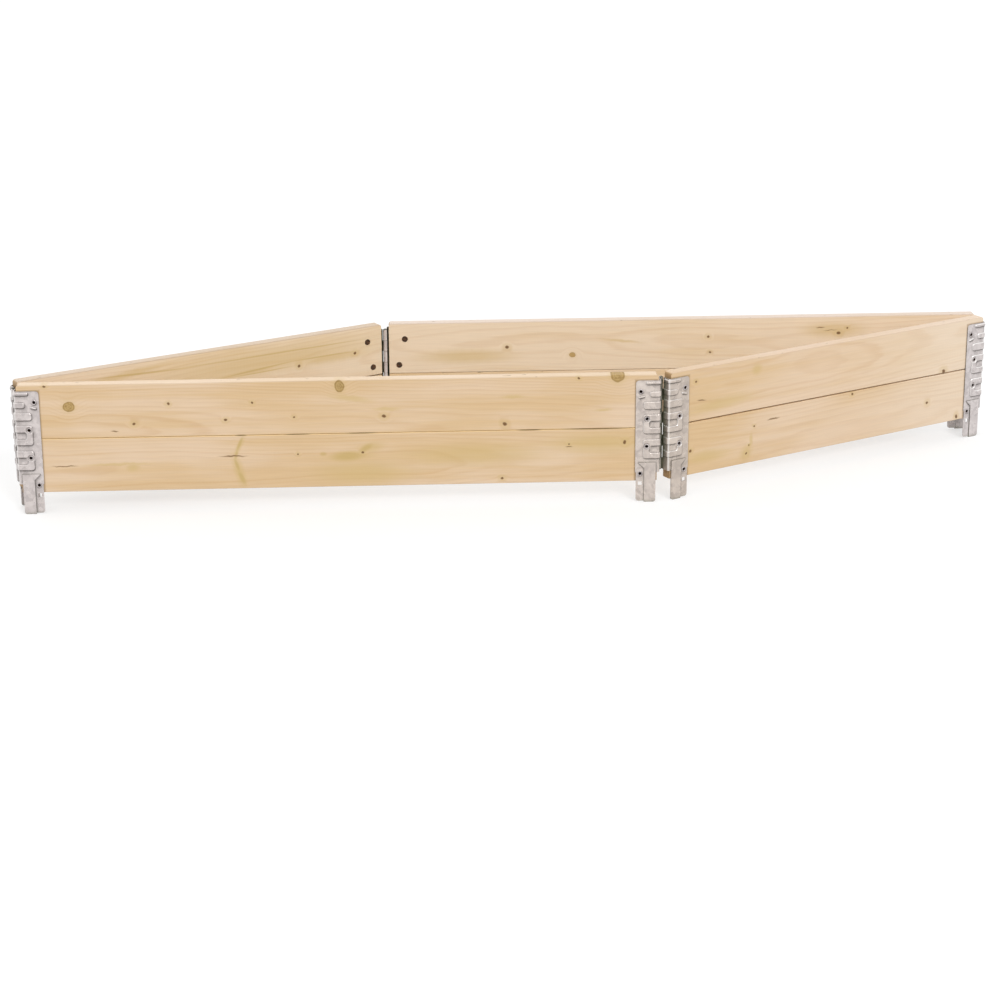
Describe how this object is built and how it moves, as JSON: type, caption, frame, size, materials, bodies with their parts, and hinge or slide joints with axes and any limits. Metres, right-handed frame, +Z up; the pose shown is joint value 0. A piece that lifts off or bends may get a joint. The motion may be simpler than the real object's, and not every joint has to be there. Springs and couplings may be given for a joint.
{
  "type": "pallet collar",
  "caption": "Folding wooden pallet collar: plank walls hinged at the corners by riveted sheet leaves whose legs grip the pallet below, shown partly folded.",
  "frame": {"origin": "midway between opposite corners, on the surface that the tips of the hinge legs stand on", "axes": "+X along the long walls, +Y from the front long wall to the back one, +Z up along the hinge pins"},
  "size_m": [1.8384, 0.4154, 0.24],
  "materials": {
    "spruce": "planed, bare",
    "galvanised_sheet": "galvanised",
    "pin_steel": "dull",
    "rivet_steel": "dark, oxidised"
  },
  "bodies": {
    "front_wall": {"front_lower_plank": "spruce", "front_upper_plank": "spruce", "left_hinge_long_leaf": "galvanised_sheet", "left_hinge_long_rivets": "rivet_steel", "left_hinge_pin": "pin_steel", "front_hinge_long_leaf": "galvanised_sheet", "front_hinge_long_rivets": "rivet_steel", "front_hinge_pin": "pin_steel"},
    "right_wall": {"right_lower_plank": "spruce", "right_upper_plank": "spruce", "front_hinge_short_leaf": "galvanised_sheet", "front_hinge_short_rivets": "rivet_steel", "right_hinge_short_leaf": "galvanised_sheet", "right_hinge_short_rivets": "rivet_steel"},
    "back_wall": {"back_lower_plank": "spruce", "back_upper_plank": "spruce", "right_hinge_long_leaf": "galvanised_sheet", "right_hinge_long_rivets": "rivet_steel", "right_hinge_pin": "pin_steel", "back_hinge_long_leaf": "galvanised_sheet", "back_hinge_long_rivets": "rivet_steel", "back_hinge_pin": "pin_steel"},
    "left_wall": {"left_lower_plank": "spruce", "left_upper_plank": "spruce", "back_hinge_short_leaf": "galvanised_sheet", "back_hinge_short_rivets": "rivet_steel", "left_hinge_short_leaf": "galvanised_sheet", "left_hinge_short_rivets": "rivet_steel"}
  },
  "joints": [
    {"name": "front_hinge", "type": "hinge", "parent": "front_wall", "child": "right_wall", "pos_m": [0.24752, -0.18374, 0.14], "axis": [0, 0, 1], "range_deg": [-28.5, 150.5]},
    {"name": "left_hinge", "type": "hinge", "parent": "front_wall", "child": "left_wall", "pos_m": [-0.91048, -0.18374, 0.14], "axis": [0, 0, 1], "range_deg": [-28.5, 150.5]},
    {"name": "right_hinge", "type": "hinge", "parent": "right_wall", "child": "back_wall", "pos_m": [0.91048, 0.18374, 0.14], "axis": [0, 0, 1], "range_deg": [-150.5, 28.5]}
  ],
  "couplings": [
    {"joint": "left_hinge", "follows": "front_hinge", "ratio": 1},
    {"joint": "right_hinge", "follows": "front_hinge", "ratio": -1}
  ]
}
